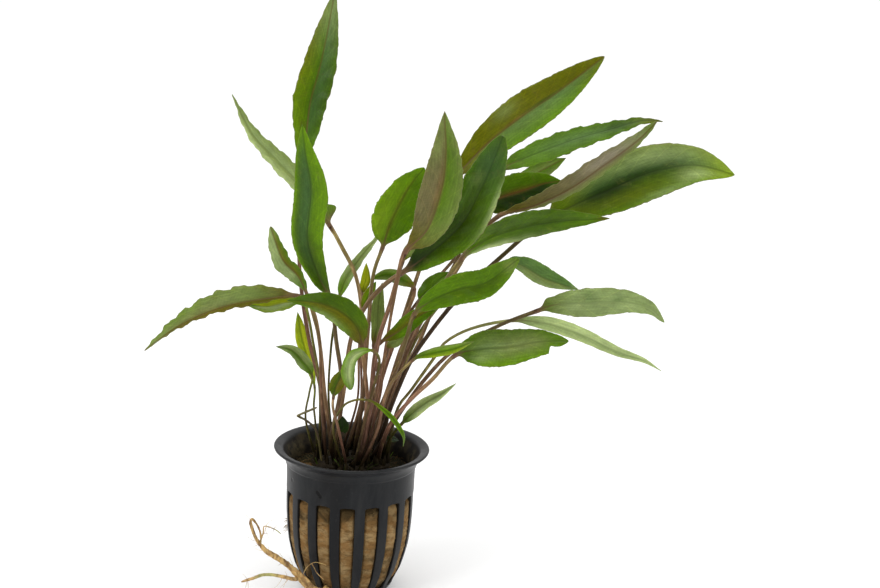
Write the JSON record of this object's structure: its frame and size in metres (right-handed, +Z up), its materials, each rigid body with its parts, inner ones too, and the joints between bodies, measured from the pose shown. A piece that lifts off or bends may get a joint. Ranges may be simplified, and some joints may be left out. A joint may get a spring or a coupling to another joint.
{
  "type": "potted aquarium plant",
  "caption": "Cryptocoryne aquarium plant with long ruffled lance-shaped leaves, growing from rock wool in a black slotted net pot.",
  "frame": {"origin": "centre of the pot's flat underside", "axes": "+Z up through the pot, +X to the right of the pictured view, -Y towards the viewer"},
  "size_m": [0.201, 0.1, 0.206],
  "materials": {
    "leaf_dark_green": "waxy, wet gloss, dark green with a greener margin",
    "leaf_bright_green": "waxy satin, mid to yellow green",
    "leaf_olive": "waxy satin, olive green with a brown midrib",
    "leaf_pale": "dull, pale grey green",
    "leaf_bronze": "satin, brownish green with mauve underside",
    "stalk_brown": "dull mauve brown",
    "root_straw": "matt straw brown",
    "crown_brown": "matt dark brown sheaths",
    "rock_wool": "matt golden brown felted mineral fibre",
    "pot_plastic": "satin dark charcoal, moulded"
  },
  "bodies": {
    "root": {"pot": "pot_plastic", "rock_wool": "rock_wool", "crown_left": "crown_brown", "crown_front": "crown_brown", "crown_right": "crown_brown", "crown_back": "crown_brown", "leaf_tall_left": "leaf_olive", "leaf_front_left": "leaf_dark_green", "leaf_pale_left": "leaf_pale", "leaf_small_left": "leaf_olive", "leaf_drooping_left": "leaf_olive", "leaf_bright_left": "leaf_bright_green", "leaf_arching_front": "leaf_bright_green", "leaf_yellow_left": "leaf_bright_green", "leaf_dark_small_left": "leaf_dark_green", "leaf_thin_upright": "leaf_bright_green", "leaf_yellow_centre": "leaf_bright_green", "leaf_centre_upright": "leaf_bright_green", "leaf_centre_small": "leaf_bright_green", "leaf_grey_centre": "leaf_pale", "leaf_shade_centre": "leaf_dark_green", "leaf_pale_centre": "leaf_pale", "leaf_bright_centre": "leaf_bright_green", "leaf_brown_front": "leaf_bronze", "leaf_dark_broad": "leaf_dark_green", "leaf_bright_right": "leaf_bright_green", "leaf_olive_centre": "leaf_olive", "leaf_small_grey": "leaf_pale", "leaf_dark_right": "leaf_dark_green", "leaf_narrow_right": "leaf_bright_green", "leaf_low_right": "leaf_bright_green", "leaf_hanging_narrow": "leaf_bright_green", "leaf_in_pot": "leaf_dark_green", "leaf_tiny_front": "leaf_dark_green", "leaf_folded_pale": "leaf_pale", "leaf_dark_front": "leaf_dark_green", "leaf_olive_top": "leaf_olive", "leaf_bluegreen_right": "leaf_dark_green", "leaf_small_back": "leaf_olive", "leaf_olive_right": "leaf_olive", "leaf_bright_long": "leaf_bright_green", "leaf_broad_glossy": "leaf_dark_green", "leaf_mauve_underside": "leaf_bronze", "leaf_green_back_right": "leaf_bright_green", "leaf_grey_arched": "leaf_pale", "leaf_pale_drooping": "leaf_pale", "stalk_kinked": "stalk_brown", "root_trunk": "root_straw", "root_upper": "root_straw", "root_loop": "root_straw", "root_curl": "root_straw", "root_lower": "root_straw"}
  },
  "joints": []
}
